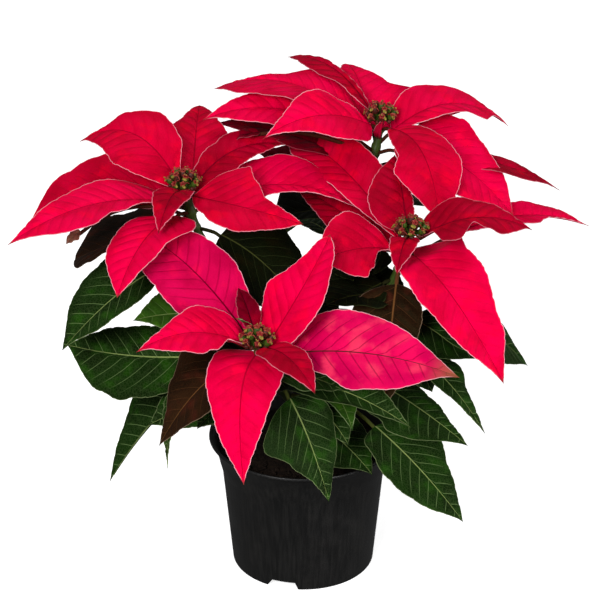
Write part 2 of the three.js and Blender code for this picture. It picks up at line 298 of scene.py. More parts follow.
# Linear colours of a blade: its face, the deeper tone that clouds it, a warm tone in patches,
# its underside, its side veins, its midrib, its margin, its tip and its stalk. Then how strongly
# the fine network and the side veins show, how wide those are, how far out they run as a share of
# the half width, where the tip's tone starts, and how glossy and rough the blade is.
TONES = ("face", "deep", "warm", "under", "vein", "midrib", "margin", "tip", "stalk")
RED_FINISH = dict(
    stalk=(0.06, 0.018, 0.009), netted=0.05, veined=0.16, vein_width=1.7, vein_end=0.97,
    tip_start=0.955, gloss=0.14, shine=(1.0, 0.02, 0.2), rough=0.5,
)
LEAF_FINISH = dict(
    netted=0.12, veined=1.0, vein_width=0.45, vein_end=0.92, tip_start=0.955, gloss=0.07,
    shine=(0.7, 1.0, 0.4), rough=0.44,
)


def palette(finish, *colours, **changes):
    return {**finish, **dict(zip(TONES, colours)), **changes}


BLADE_COLOURS = {
    "crimson": palette(RED_FINISH, (0.9, 0, 0.062), (0.7, 0, 0.036), (0.95, 0, 0.045),
        (0.62, 0.004, 0.06), (0.55, 0, 0.028), (0.46, 0, 0.022), (0.95, 0.5, 0.58), (0.3, 0.05, 0.04)),
    # A deeper copy of the crimson colours: partly the bracts' own deeper red, partly painted shade for bracts
    # towards the back.
    "red": palette(RED_FINISH, (0.68, 0, 0.034), (0.5, 0, 0.02), (0.78, 0, 0.026), (0.5, 0.004, 0.04),
        (0.4, 0, 0.016), (0.32, 0, 0.014), (0.9, 0.36, 0.44), (0.2, 0.03, 0.02)),
    # A darker copy of the crimson colours, mostly painted shade for bracts that lie in shade among the
    # others.
    "dark": palette(RED_FINISH, (0.47, 0, 0.022), (0.32, 0, 0.012), (0.56, 0, 0.016),
        (0.36, 0.004, 0.03), (0.26, 0, 0.01), (0.18, 0, 0.01), (0.8, 0.25, 0.33), (0.1, 0.02, 0.015)),
    # A much darker copy of the crimson colours, with a dull margin: painted shade for bracts that lie hidden
    # in deep shade.
    "deep_shade_red": palette(RED_FINISH, (0.2, 0, 0.012), (0.11, 0, 0.006), (0.27, 0, 0.01),
        (0.16, 0.002, 0.012), (0.08, 0, 0.005), (0.05, 0, 0.004), (0.42, 0.08, 0.11), (0.06, 0.01,
        0.008)),
    "purple": palette(RED_FINISH, (0.7, 0.002, 0.08), (0.52, 0.001, 0.052), (0.78, 0.003, 0.072),
        (0.46, 0.01, 0.06), (0.26, 0, 0.02), (0.14, 0, 0.01), (0.95, 0.45, 0.55), (0.2, 0.03, 0.03),
        veined=0.45, vein_width=1.1),
    "salmon": palette(RED_FINISH, (0.86, 0.004, 0.1), (0.62, 0, 0.075), (0.9, 0.035, 0.115),
        (0.6, 0.05, 0.1), (0.3, 0, 0.03), (0.075, 0.015, 0.012), (0.95, 0.55, 0.58), (0.28, 0.1, 0.045),
        veined=0.6, vein_width=0.9, tip_start=0.8),
    "tan": palette(RED_FINISH, (0.5, 0.2, 0.13), (0.36, 0.1, 0.07), (0.56, 0.3, 0.17),
        (0.44, 0.2, 0.13), (0.3, 0.06, 0.05), (0.34, 0.16, 0.09), (0.62, 0.36, 0.26), (0.4, 0.24,
        0.12)),
    "leaf": palette(LEAF_FINISH, (0.008, 0.03, 0.003), (0.005, 0.015, 0.002), (0.015, 0.07, 0.003),
        (0.045, 0.09, 0.02), (0.17, 0.27, 0.09), (0.3, 0.39, 0.12), (0.22, 0.28, 0.12), (0.02, 0.04,
        0.01), (0.12, 0.14, 0.03)),
    "light": palette(LEAF_FINISH, (0.045, 0.135, 0.01), (0.024, 0.075, 0.007), (0.065, 0.19, 0.009),
        (0.08, 0.16, 0.04), (0.14, 0.25, 0.06), (0.26, 0.38, 0.11), (0.36, 0.45, 0.22), (0.03, 0.08,
        0.02), (0.16, 0.2, 0.05)),
    "shade": palette(LEAF_FINISH, (0.005, 0.007, 0.002), (0.003, 0.004, 0.002), (0.009, 0.007, 0.002),
        (0.02, 0.03, 0.008), (0.035, 0.05, 0.014), (0.07, 0.08, 0.02), (0.05, 0.06, 0.02), (0.01, 0.01,
        0.004), (0.03, 0.03, 0.01), veined=0.7),
    "brown": palette(LEAF_FINISH, (0.03, 0.012, 0.005), (0.014, 0.006, 0.003), (0.06, 0.013, 0.007),
        (0.07, 0.055, 0.025), (0.12, 0.045, 0.016), (0.2, 0.08, 0.025), (0.3, 0.2, 0.13), (0.03, 0.02,
        0.01), (0.16, 0.05, 0.02), veined=0.6),
}
MIDRIB_WIDTH = 0.8
MARGIN_WIDTH = 0.55
NETWORK_CELL = 1.9


def blade_material(name, colours):
    """The skin of a bract or leaf. Its attributes are blade (across, along, seed), shape (to the
    margin, side veins passed, share of the length) and kind (underside, stalk, share across)."""
    g = Graph(name)
    blade = g.attribute("blade")
    across, _, _ = g.parts(blade)
    to_margin, veins, along = g.parts(g.attribute("shape"))
    under, stalk, outwards = g.parts(g.attribute("kind"))

    colour = colours["face"]

    def paint(share, tone):
        nonlocal colour
        colour = g.mix(share, colour, colours[tone])

    clouds = g.noise(blade, 0.045, 4.0)
    paint(g.ramp(clouds, 0.38, 0.66), "deep")
    speckle = g.noise(blade, 0.9, 5.0, 0.7)
    paint(g.ramp(speckle, 0.45, 0.8, 0.0, 0.3), "deep")
    patches = g.noise(g.stretch(blade, 1.0, 1.0, 1.7), 0.075, 3.0)
    paint(g.ramp(patches, 0.5, 0.72), "warm")

    cells = g.node("TexVoronoi", 0, {"feature": "DISTANCE_TO_EDGE"},
                   Vector=g.stretch(blade, 1.0, 1.4), Scale=1 / NETWORK_CELL)
    network = g.ramp(cells, 0.0, 0.16, 1.0, 0.0)
    paint(g.times(network, colours["netted"]), "vein")

    to_vein = g.times(g.math("PINGPONG", veins, 0.5), VEIN_SPACING)
    line = g.ramp(to_vein, 0.0, colours["vein_width"], 1.0, 0.0)
    end = colours["vein_end"]
    line = g.times(line, g.ramp(outwards, end - 0.4, end, 1.0, 0.0))
    paint(g.times(line, colours["veined"]), "vein")

    thin = g.ramp(along, 0.0, 1.0, MIDRIB_WIDTH, 0.25 * MIDRIB_WIDTH)
    rib = g.math("SUBTRACT", 1.0, g.math("DIVIDE", g.math("ABSOLUTE", across), thin))
    rib = g.ramp(rib, 0.0, 0.6)
    paint(rib, "midrib")

    paint(g.ramp(along, colours["tip_start"], 1.0), "tip")
    rim = g.times(g.ramp(to_margin, 0.4 * MARGIN_WIDTH, MARGIN_WIDTH, 1.0, 0.0),
                  g.ramp(outwards, 0.6, 0.85))
    paint(g.times(rim, g.ramp(along, 0.93, 0.98, 0.85, 0.0)), "margin")

    below = g.mix(g.math("MAXIMUM", g.times(line, 0.6), g.times(network, 0.3)),
                  colours["under"], colours["deep"])
    colour = g.mix(under, colour, below)
    paint(stalk, "stalk")

    height = g.math("ADD", g.times(network, -0.05), g.times(line, -0.22))
    height = g.math("ADD", height, g.times(speckle, 0.10))
    height = g.math("ADD", height, g.times(rib, -0.12))
    rough = colours["rough"]
    roughness = g.math("ADD", g.ramp(clouds, 0.3, 0.7, rough - 0.06, rough + 0.06),
                       g.times(under, 0.2))
    return g.finish(colour, roughness, height, Specular_IOR_Level=colours["gloss"],
                    Specular_Tint=colours["shine"])


# ---- Bracts and leaves ----

LENGTHWISE = 72  # steps from a blade's base to its tip
ACROSS = 10  # steps from the midrib to a margin
THICKNESS = 0.36
MARGIN_THICKNESS = 0.22
STALK_RADIUS, RIB_TIP_RADIUS = 1.2, 0.25
STALK_STEPS, STALK_SIDES = 10, 10
TIP_HALF_WIDTH = 0.15
VEIN_SPACING = 8.5
VEIN_LEAN = 0.65  # how far a side vein runs tipwards for each millimetre outwards
VEIN_BOW = 0.010
RIGHT_VEIN_SHIFT = 0.4  # side veins on the right start between those on the left
TEETH, QUILT = 0.35, 0.7
RUFFLE, RUFFLE_WAVES, RIGHT_RUFFLE_SHIFT = 0.8, 2.5, 0.37
SEED_STEP = 0.618034  # between the seeds of neighbouring blades
SEED_REACH = 31.0  # how far apart seeds 0 and 1 lie in the noise


def blade(stem, below, tip, stalk, width, rise, sway=0, roll=0, powers=(0.55, 1.15), skew=0,
          skin="crimson", left=(1, 1), right=(1, 1), fold=(7, 7), curl=(-6, -6), lobe=0, droop=0):
    """A bract. It leaves its stem at a distance below the stem's top. rise and sway are of the
    midrib over the straight line from base to tip, and roll turns the blade about it. powers shape
    its outline, and skew widens its left half. left and right are factors on the half widths, at
    even steps from base to tip. fold is how far each half rises from the midrib, and curl is how
    much more it bends on its way to the margin, in degrees. lobe is how far the blade's base
    reaches back past its stalk, and droop bends the tip down."""
    return locals()


def leaf(*sizes, skin="leaf", **shape):
    return blade(*sizes, skin=skin, **shape)


BRACTS = {
    "left_1": blade(LEFT, 13, (-177, -50, 247), 12, 50, 15, 0, -8, powers=(0.6, 1.25), skew=0.15,
        left=(0.1, 0.2, 0.5, 1.05, 1.3, 1.4)),
    "left_2": blade(LEFT, 15, (-169, 12, 233), 12, 48, 9, 0, -20, powers=(0.55, 1), skew=-0.4,
        skin="red", left=(0.5, 0.5, 0.6, 0.8, 1, 1), right=(1, 1.15, 1.2, 1.25, 1.4, 1.75, 1.4)),
    "left_3": blade(LEFT, 11, (-139, 40, 275), 8, 44, 21, -8, -20, powers=(0.9, 0.9), skew=0.1,
        skin="red", left=(1, 1.1, 1.2, 1.2, 1.1, 1, 0.5), right=(0.3, 0.6, 1.05, 1.18, 0.85, 0.25, 0.1)),
    "left_4": blade(LEFT, 17, (-66, 95, 276), 12, 48, 10, powers=(0.6, 0.9), skin="red",
        left=(1, 1, 1, 0.85, 0.65, 0.6), right=(1, 1, 1, 0.9, 0.75, 0.8)),
    "left_5": blade(LEFT, 8, (-8, 50, 268), 6, 38, 11, 8, 14, powers=(0.5, 1.15), skew=0.3,
        skin="dark", left=(0.3, 0.35, 0.5, 0.8, 1, 1), right=(1, 1, 1.15, 1.35, 1.5, 1.3)),
    "left_6": blade(LEFT, 5, (0, -30, 251), 8, 56, 7, -10, 20, powers=(0.75, 1.15), skew=0.15,
        skin="red", left=(1, 1, 1, 0.7, 0.45, 0.42, 0.6), right=(0.5, 0.6, 0.85, 1, 1, 1)),
    "left_7": blade(LEFT, 4, (-87, -45, 252), 7, 24, 11, skin="dark"),
    "left_8": blade(LEFT, 17, (-111, -75, 224), 16, 48, 12, -4, 8, powers=(0.75, 1.15),
        left=(1.6, 1.3, 0.75, 0.85, 1), right=(1, 0.9, 0.9, 1, 1)),
    "left_9": blade(LEFT, 18, (38, 18, 238), 16, 50, 19, 0, 8,
        left=(1, 1, 1.15, 1.35, 1.55, 1.35, 1.1), right=(1, 1, 0.7, 0.55, 0.42, 0.35, 0.55, 0.8, 1)),
    "back_1": blade(BACK, 6, (-25, 25, 283), 8, 48, 13, 0, -25, powers=(0.6, 1.5),
        right=(0.3, 0.55, 0.95, 1.02, 0.9, 1)),
    "back_2": blade(BACK, 12, (-57, 98, 286), 16, 42, 20, left=(1, 1.1, 1.3, 1.7, 2.8, 3.4),
        right=(1.3, 1.5, 1.35, 0.52, 0.25, 0.35)),
    "back_3": blade(BACK, 21, (-63, 55, 283), 18, 44, 18, 0, -15, left=(0.5, 0.7, 1.1, 1.15, 1)),
    "back_4": blade(BACK, 5, (-10, 135, 293), 14, 26, 13, -4, skin="dark",
        left=(0.4, 0.6, 1.2, 1.9, 2.6), right=(0.25, 0.25, 0.3, 0.6, 1)),
    "back_5": blade(BACK, 17, (29, 140, 286), 12, 50, 11, 0, 12, powers=(0.55, 1), skew=-0.3,
        right=(1.6, 2.2, 1.8, 0.7, 0.5, 0.6)),
    "back_6": blade(BACK, 17, (132, 104, 258), 14, 42, 22, 0, 8, powers=(0.75, 1.15), skew=0.2,
        left=(1, 1, 1, 0.9, 0.75, 0.8, 1), right=(1, 0.8, 0.75, 0.9, 1.5, 0.7, 0.3)),
    "back_7": blade(BACK, 22, (132, 34, 226), 14, 65, 20, 0, 12, powers=(0.8, 1.15),
        left=(1, 1.5, 1.18, 0.92, 0.88, 0.92, 1)),
    "back_8": blade(BACK, 6, (84, -4, 238), 10, 48, 18, 7, powers=(0.8, 1.15), skin="red",
        left=(0.7, 0.75, 0.85, 1, 1.05, 1), right=(0.75, 0.7, 0.72, 1.15, 1.2, 1)),
    "back_9": blade(BACK, 31, (164, 72, 227), 20, 28, 15, skin="dark", right=(1, 1.3, 1.8, 1.8)),
    "right_1": blade(RIGHT, 12, (-10, 88, 258), 8, 34, 14.3, 0, -15, powers=(0.9, 0.8), skew=-0.2,
        skin="red", left=(1, 1.05, 1.1, 1.3, 1.5, 1), right=(1, 1.05, 1.05, 1)),
    "right_2": blade(RIGHT, 18, (-7, 55, 240), 14, 34, 3, 0, -10, skin="dark"),
    "right_3": blade(RIGHT, 7, (139, -25, 245), 8, 44, 13, 0, 10, skew=0.15, skin="dark",
        left=(0.9, 0.9, 0.88, 0.85, 0.75, 0.75, 0.6, 0.5, 0.6), right=(0.2, 0.2, 1.15, 1.2, 0.35, 1.05,
        1.8, 1.9, 1)),
    "right_4": blade(RIGHT, 26, (184, 76, 200), 45, 34, 19.5, 0, 10, skew=-0.15,
        left=(1, 0.9, 0.75, 1, 1.3, 0.5), right=(0.2, 0.35, 0.6, 0.65, 0.25, 0.15, 0.2), fold=(18, 7)),
    "right_5": blade(RIGHT, 12, (120, -90, 174), 10, 60, 17, -4, powers=(0.3, 1.15), skew=0.15,
        left=(1.2, 0.82, 0.88, 0.87, 1.2, 1.3), right=(0.6, 0.85, 1.05, 1.22, 1.3, 1.3), fold=(18, 7),
        lobe=10),
    "right_6": blade(RIGHT, 3, (56, -54, 229), 4, 18, 8, skin="dark"),
    "right_7": blade(RIGHT, 13, (9, -45, 233), 10, 54, 6, 0, -28, powers=(0.9, 1.15), skin="red",
        left=(0.1, 0.15, 0.6, 0.95, 1, 1)),
    "right_8": blade(RIGHT, 5, (57, 42, 265), 6, 30, 5, powers=(0.6, 1.15), skew=0.5, skin="dark",
        right=(0.8, 0.8, 0.8, 1)),
    "front_1": blade(FRONT, 14, (-103, -18, 241), 10, 58, 13, 0, -25, powers=(0.85, 1.15), skew=0.1,
        skin="purple", left=(1, 0.95, 0.85, 0.9, 1.15, 1.2), right=(0.6, 0.75, 0.9, 1, 1)),
    "front_2": blade(FRONT, 7, (-98, -112, 207), 8, 48, 13, 0, -15, powers=(0.55, 1.3), skew=-0.05,
        left=(0.1, 0.15, 0.75, 1.3, 1.4, 1.2), right=(1, 1, 0.95, 0.8, 0.6, 0.7)),
    "front_3": blade(FRONT, 9, (-35, -150, 139), 6, 43, 16, -6, powers=(0.4, 1.15),
        left=(1.2, 1.05, 0.95, 1, 1), right=(1.2, 1.05, 0.95, 1, 1), lobe=7),
    "front_4": blade(FRONT, 4, (7, -130, 189), 6, 30, 10, powers=(0.7, 1.15), skin="dark",
        left=(1, 0.8, 0.8, 0.9, 1)),
    "front_5": blade(FRONT, 15, (92, -110, 189), 12, 58, 10, 0, 27, powers=(0.6, 1.2), skin="salmon",
        left=(1, 1, 1, 0.95, 0.9), right=(0.3, 0.6, 1.1, 1.3, 1.1)),
    "front_6": blade(FRONT, 13, (16, -38, 248), 6, 42, 12, -9, powers=(0.75, 1.15),
        left=(1, 1.05, 1.13, 0.95, 0.85, 1.7)),
    "front_7": blade(FRONT, 9, (-39, -56, 221), 12, 15, 5, powers=(0.8, 1), skin="deep_shade_red"),
}

LEAVES = {
    "01": leaf(LEFT, 45, (-149, -30, 165), 26, 50, 13, 0, -10, skew=-0.4,
        left=(1, 1.15, 1.35, 1.45, 1.3), right=(1, 0.85, 0.87, 1.05, 1.15, 1.2)),
    "02": leaf(LEFT, 118, (-148, 0, 153), 44, 72, -8, 0, -35, left=(0.8, 0.8, 0.85, 1.15, 1.5, 1.6),
        right=(0.7, 0.6, 0.6, 0.8, 1)),
    "03": leaf(LEFT, 36, (-140, 10, 205), 24, 50, 12, powers=(0.55, 0.5), skin="brown",
        left=(0.2, 0.2, 0.2, 0.2, 0.3, 0.5, 1, 1.4, 1.3), right=(2.3, 2.2, 1.6, 1.4, 1.4, 1.5, 2.1, 2.1,
        1.1), droop=-6),
    "04": leaf(LEFT, 140, (-125, 5, 51), 40, 50, 30, 0, -35, powers=(0.4, 1.15), skew=-0.25,
        left=(0.3, 0.1, 0.05, 0.02, 0.02, 0.05, 0.2), right=(1, 1.05, 1, 0.9, 1)),
    "05": leaf(FRONT, 30, (-87, -100, 137), 20, 54, 20, skin="brown", right=(1.6, 1.4, 1, 0.8, 0.5)),
    "06": leaf(LEFT, 28, (-2, -20, 193), 16, 66, 10, 0, 10, skin="shade", left=(1, 1, 1.05, 1.45, 2),
        right=(1, 1, 1.5, 1.6, 1)),
    "07": leaf(FRONT, 40, (16, -90, 92), 20, 54, 14, skew=0.1, left=(0.9, 0.85, 0.8, 0.75, 0.8),
        right=(1.5, 1.7, 1.15, 0.8, 0.9)),
    "08": leaf(RIGHT, 26, (49, -80, 152), 12, 50, 10, skin="brown", left=(0.8, 0.75, 0.7, 0.8, 1)),
    "09": leaf(RIGHT, 60, (105, -50, 163), 24, 46, 10, right=(1, 1, 1, 1.3, 1.6, 1.4), droop=-18),
    "10": leaf(RIGHT, 45, (140, -20, 149), 24, 52, 14, right=(1, 1.2, 1.6, 2.2, 2.5)),
    "11": leaf(RIGHT, 85, (112, -60, 123), 30, 24, 20, left=(1, 1, 1.2, 1.5, 1, 0.8, 0.8)),
    "12": leaf(RIGHT, 105, (100, -80, 126), 26, 46, 4, skew=-0.3, left=(1, 1, 0.85, 0.75, 0.9),
        right=(1, 1, 1.1, 1.5, 1.9, 1.4)),
    "13": leaf(RIGHT, 130, (99, -75, 69), 42, 58, 10, skew=-0.05, left=(1, 1, 1.05, 0.88, 0.82, 1),
        right=(1, 0.82, 0.92, 1.15, 1.25, 1.3)),
    "14": leaf(FRONT, 85, (28, -62, 116), 14, 40, 10),
    "15": leaf(FRONT, 118, (43, -55, 91), 14, 44, 6, right=(1, 1.2, 1.6, 1.6, 1.2)),
    "16": leaf(BACK, 60, (-20, 48, 218), 20, 50, 4, skin="shade",
        left=(0.6, 0.55, 0.65, 0.6, 0.4, 0.5), right=(1, 1.2, 1.5, 2.2, 3.2, 3)),
    "17": leaf(RIGHT, 60, (9, 5, 211), 20, 62, 8, 0, -20, skin="shade"),
    "18": leaf(LEFT, 80, (-120, 85, 150), 26, 60, 16),
    "19": leaf(BACK, 90, (-20, 140, 158), 26, 62, 20, left=(0.5, 0.3, 0.15, 0.2, 0.6, 1),
        right=(0.5, 0.3, 0.3, 0.4, 0.7, 1)),
    "20": leaf(BACK, 60, (115, 120, 165), 26, 60, 20, left=(1, 1, 0.7, 0.3, 0.2, 0.2), droop=-30),
}

# Smaller bracts and leaves between those that the construction holds. Those with the near-black leaf colours
# or the darkest bract colours are dark sheets that fill gaps deep in the plant: painted shade.
EXTRA_BRACTS = {
    "a": blade(LEFT, 22, (-145, -20, 233), 77, 15, 16, skin="tan"),
    "b": blade(BACK, 24, (-47, 45, 275), 78, 13, 10, skin="deep_shade_red", droop=10),
    "c": blade(BACK, 14, (50, 60, 281), 4, 8, 3, skin="red"),
    "d": blade(BACK, 32, (-58, 72, 273), 22, 38, 8, skin="deep_shade_red"),
    "e": blade(BACK, 42, (-29, 92, 244), 24, 34, 4, 0, -20, skin="deep_shade_red"),
}
EXTRA_LEAVES = {
    "a": leaf(LEFT, 100, (-103, -50, 196), 24, 42, 6, 0, -35, skin="light", powers=(0.55, 1.2)),
    "b": leaf(FRONT, 80, (-65, -70, 132), 20, 50, 12),
    "c": leaf(LEFT, 90, (-84, -60, 98), 60, 11, 6, -16, powers=(0.5, 1.6)),
    "d": leaf(RIGHT, 140, (30, -72, 132), 14, 34, 16, skin="light", curl=(30, 30)),
    "e": leaf(RIGHT, 75, (-2, -30, 182), 22, 60, 8, skin="shade"),
    "f": leaf(RIGHT, 70, (80, -40, 141), 22, 50, 10),
    "g": leaf(RIGHT, 50, (26, 20, 209), 18, 44, 4, skin="shade"),
    "h": leaf(BACK, 100, (14, 0, 184), 16, 50, 10, skin="shade"),
    "i": leaf(LEFT, 70, (-83, 0, 163), 20, 50, 8),
    "k": leaf(FRONT, 55, (-40, -78, 212), 30, 10, 10, skin="light"),
    "l": leaf(RIGHT, 66, (-43, -10, 189), 22, 46, 6, skin="shade"),
    "m": leaf(LEFT, 120, (-97, -24, 109), 20, 50, -4, 0, -30),
    "n": leaf(FRONT, 44, (65, -92, 145), 8, 42, 8, 0, 15, powers=(0.35, 1.15), curl=(25, 25)),
    "o": leaf(FRONT, 25, (-62, -75, 191), 8, 34, 4, skin="shade"),
    "p": leaf(RIGHT, 48, (14, -45, 204), 14, 52, 4, skin="shade"),
    "q": leaf(FRONT, 24, (25, -78, 163), 8, 46, 2),
    "r": leaf(RIGHT, 34, (30, -25, 197), 8, 44, 2, skin="shade"),
    "s": leaf(RIGHT, 60, (43, 20, 205), 6, 36, 2, skin="shade"),
}


def outline(along, powers):
    base_power, tip_power = powers
    widest = base_power / (base_power + tip_power)
    peak = widest ** base_power * (1 - widest) ** tip_power
    return along ** base_power * (1 - along) ** tip_power / peak


def eased(stations, values):
    """Smooth steps through values that are evenly spaced from 0 to 1."""
    spot = np.clip(stations, 0, 1) * (len(values) - 1)
    low = np.minimum(spot.astype(int), len(values) - 2)
    share = smoothstep(0, 1, spot - low)
    values = np.array(values, float)
    return values[low] * (1 - share) + values[low + 1] * share


def turned_about(vectors, axes, degrees):
    angle = np.radians(degrees)
    return vectors * np.cos(angle) + np.cross(axes, vectors) * np.sin(angle)


def blade_piece(name, row, seed):
    stem, stalk, width = row["stem"], row["stalk"], row["width"]
    path = PATHS[stem]
    base = path.at(path.length - row["below"])
    tip = np.array(row["tip"], float)
    heading = unit((tip - base) * [1, 1, 0])
    leftwards = np.array([-heading[1], heading[0], 0])
    middle = (base + tip) / 2 + 2 * row["rise"] * UP + 2 * row["sway"] * leftwards
    midrib = Path([base, middle, tip])

    even = np.linspace(0, 1, LENGTHWISE + 1)
    along = 0.55 * even + 0.45 * (1 - np.cos(math.pi * even)) / 2
    distance = stalk + along * (midrib.length - stalk)

    def frame_at(distances, share):
        tangent = midrib.heading(distances)
        side = unit(leftwards - tangent * (tangent @ leftwards)[:, None])
        side = turned_about(side, tangent, row["roll"])
        normal = np.cross(tangent, side)
        bend = smoothstep(0.5, 1.0, share)[:, None] * (share[:, None] - 0.4)
        centre = midrib.at(distances) - bend * (row["droop"] * normal)
        return centre, tangent, side, normal

    centre, tangent, side, normal = frame_at(distance, along)
    u = np.linspace(-1, 1, 2 * ACROSS + 1)
    is_left = u > 0
    length = midrib.length - stalk

    # Half widths in millimetres, with shallow teeth.
    half = (width / 2) * outline(along, row["powers"])
    least = STALK_RADIUS + (TIP_HALF_WIDTH - STALK_RADIUS) * along
    beat = 2 * math.pi * (along * length / VEIN_SPACING + seed)
    bite = TEETH * smoothstep(0, 0.15, along) * smoothstep(1, 0.85, along)
    ragged = bite * (0.6 * np.sin(beat) + 0.4 * np.sin(2 * beat + 1.1) + 0.35 * np.sin(3.3 * beat + 4 * seed))
    left_half = np.maximum(half * (1 + row["skew"]) * eased(along, row["left"]) + ragged, least)
    right_half = np.maximum(half * (1 - row["skew"]) * eased(along, row["right"]) + ragged[::-1], least)
    half = np.where(is_left, left_half[:, None], right_half[:, None])

    # The cross section bends steadily from the midrib to the margin.
    v = np.abs(u)
    fold = np.where(is_left, row["fold"][0], row["fold"][1])
    curl = np.where(is_left, row["curl"][0], row["curl"][1])
    opened = smoothstep(0, 0.12, along)[:, None]
    slope = np.radians((fold + curl * v / 2) * opened)
    across = u * half * np.cos(slope)
    up = v * half * np.sin(slope)

    x = u * half
    veins = (distance[:, None] - VEIN_LEAN * np.abs(x) - VEIN_BOW * x * x) / VEIN_SPACING
    veins = veins + np.where(is_left, 0, RIGHT_VEIN_SHIFT)
    bulge = 0.5 - 0.5 * np.cos(2 * math.pi * veins)
    puff = smoothstep(0, 0.25, v) * (1 - v ** 6) * smoothstep(0, 0.1, along)[:, None]
    puff = puff * smoothstep(1.0, 0.8, along)[:, None]
    up = up + QUILT * bulge * puff
    up = up - 0.5 * np.exp(-(x / 1.8) ** 2) * opened
    shift = np.where(is_left, 0, RIGHT_RUFFLE_SHIFT)
    swing = 2 * math.pi * (RUFFLE_WAVES * along[:, None] + shift + seed)
    up = up + RUFFLE * v ** 2 * np.minimum(half / 12, 1) * np.sin(swing)
    back = row["lobe"] * v ** 1.5 * (1 - smoothstep(0, 0.3, along))[:, None]

    surface = centre[:, None] + side[:, None] * across[..., None] + normal[:, None] * up[..., None]
    surface = surface - tangent[:, None] * back[..., None]
    flow = np.gradient(surface, axis=0)
    outward = unit(np.cross(flow, np.gradient(surface, axis=1)))
    thick = THICKNESS + (MARGIN_THICKNESS - THICKNESS) * v[None, :, None] ** 2
    columns = len(u)
    top = (surface + outward * thick / 2).reshape(-1, 3)
    bottom = (surface - outward * thick / 2).reshape(-1, 3)
    count = len(top)
    faces = quads(len(along), columns)
    under_faces = [tuple(count + i for i in reversed(face)) for face in faces]
    last = (len(along) - 1) * columns
    loop = list(range(0, last, columns))
    loop += list(range(last, last + columns - 1))
    loop += list(range(last + columns - 1, columns - 1, -columns))
    loop += list(range(columns - 1, 0, -1))
    rim = [(j, i, i + count, j + count) for i, j in zip(loop, loop[1:] + loop[:1])]

    grid = np.broadcast_arrays(x, distance[:, None], along[:, None], v[None], (1 - v) * half, veins)
    x, d, s, v, to_margin, veins = (value.reshape(-1) for value in grid)
    blade_values = in_columns(x, d, SEED_REACH * seed)
    shape_values = in_columns(to_margin, veins, s)
    top_place = in_columns(0.235 + 0.225 * np.tile(u, len(along)), 0.01 + 0.98 * s)
    soup = Soup()
    soup.add(
        np.vstack([top, bottom]), faces + under_faces + rim,
        bake=np.vstack([top_place, top_place + [0.48, 0]]),
        blade=np.vstack([blade_values, blade_values]),
        shape=np.vstack([shape_values, shape_values]),
        kind=np.vstack([in_columns(0, 0, v), in_columns(1, 0, v)]),
    )

    # The stalk runs on as the rib under the blade.
    share = np.concatenate([np.linspace(-1, 0, STALK_STEPS, endpoint=False), along[: -LENGTHWISE // 12]])
    reach = np.where(share < 0, stalk * (1 + share), stalk + share * (midrib.length - stalk))
    centre, tangent, side, normal = frame_at(reach, np.clip(share, 0, 1))
    radius = np.where(share < 0, STALK_RADIUS, STALK_RADIUS + (RIB_TIP_RADIUS - STALK_RADIUS) * share)
    sink = smoothstep(-0.3, 0.08, share) * (radius + 0.35)
    points, faces = tube(centre - normal * sink[:, None], tangent, radius, STALK_SIDES)
    ring = np.repeat(share, STALK_SIDES)
    turn = np.tile(np.linspace(0, 1, STALK_SIDES), len(share))
    soup.add(
        points, faces,
        bake=in_columns(0.95 + 0.045 * turn, (ring + 1) / 2),
        blade=in_columns(turn * 4, np.repeat(reach, STALK_SIDES), 0),
        shape=in_columns(9, 0.5, np.clip(ring, 0, 0.9)),
        kind=in_columns(1, smoothstep(0.25, 0, ring), 0),
    )
    return soup.make(name, [SKINS[row["skin"]]])


def add_blades(rows, slot, name, *nodes):
    for number, (key, row) in enumerate(rows.items()):
        piece = blade_piece(name.format(key), row, number * SEED_STEP % 1)
        row_slot = "leaf_brown" if row["skin"] == "brown" else slot
        hand_in(piece, row_slot, *(node.format(key) for node in nodes))


# ---- Stems ----

STEM_SIDES, STEM_STEP = 14, 2.0
TRUNK_SCARS = [34, 43, 52]
SCAR_RISE, SCAR_LENGTH = 0.55, 1.6


def stem_piece():
    sides = STEM_SIDES
    soup = Soup()

    def add_branch(path, foot_radius, top_radius, low, high, bumps):
        distance = np.arange(0, path.length, STEM_STEP)
        share = distance / path.length
        radius = foot_radius + (top_radius - foot_radius) * share
        for bump in bumps:
            radius = radius + SCAR_RISE * np.exp(-((distance - bump) / SCAR_LENGTH) ** 2)
        angle = round_steps(sides)
        ribs = 1 + 0.03 * np.cos(5 * angle + 0.2 * distance[:, None])
        points, faces = tube(path.at(distance), path.heading(distance), radius[:, None] * ribs,
                             sides, np.array([0, 1, 0.01]))
        climb = np.repeat(low + (high - low) * share, sides)
        around = np.tile(angle, len(distance))
        along = np.repeat(distance, sides)
        soup.add(points, faces, stem=in_columns(around, along, climb))

    rows = list(BRACTS.values()) + list(LEAVES.values())
    trunk = Path([(0, 0, TRUNK_BOTTOM), (0, 0, TRUNK_TOP)])
    add_branch(trunk, TRUNK_FOOT_RADIUS, TRUNK_TOP_RADIUS, 0, 0.1, TRUNK_SCARS)
    for name, path in PATHS.items():
        bumps = [path.length - row["below"] for row in rows if row["stem"] == name]
        add_branch(path, STEM_FOOT_RADIUS, STEM_TOP_RADIUS, 0.1, 1, bumps)
    return soup.make("stem_detail", [stem_material()])


def stem_material():
    g = Graph("stem_skin")
    stem = g.attribute("stem")
    _, _, climb = g.parts(stem)
    # The middle green is darker than the stems' own green: painted shade for stems that stand in the shade of
    # the bracts.
    woody, green, young = (0.040, 0.026, 0.014), (0.035, 0.060, 0.012), (0.075, 0.14, 0.02)
    streaks = g.noise(g.stretch(stem, 3.0, 0.15), 1.0, 4.0)
    colour = g.mix(g.ramp(climb, 0.1, 0.5), woody, green)
    colour = g.mix(g.ramp(climb, 0.5, 0.85), colour, young)
    colour = g.mix(g.ramp(streaks, 0.4, 0.75, 0.0, 0.5), colour, woody)
    return g.finish(colour, g.ramp(climb, 0, 1, 0.8, 0.45), g.times(streaks, 0.3),
                    Specular_IOR_Level=0.35)


# ---- Flower clusters ----

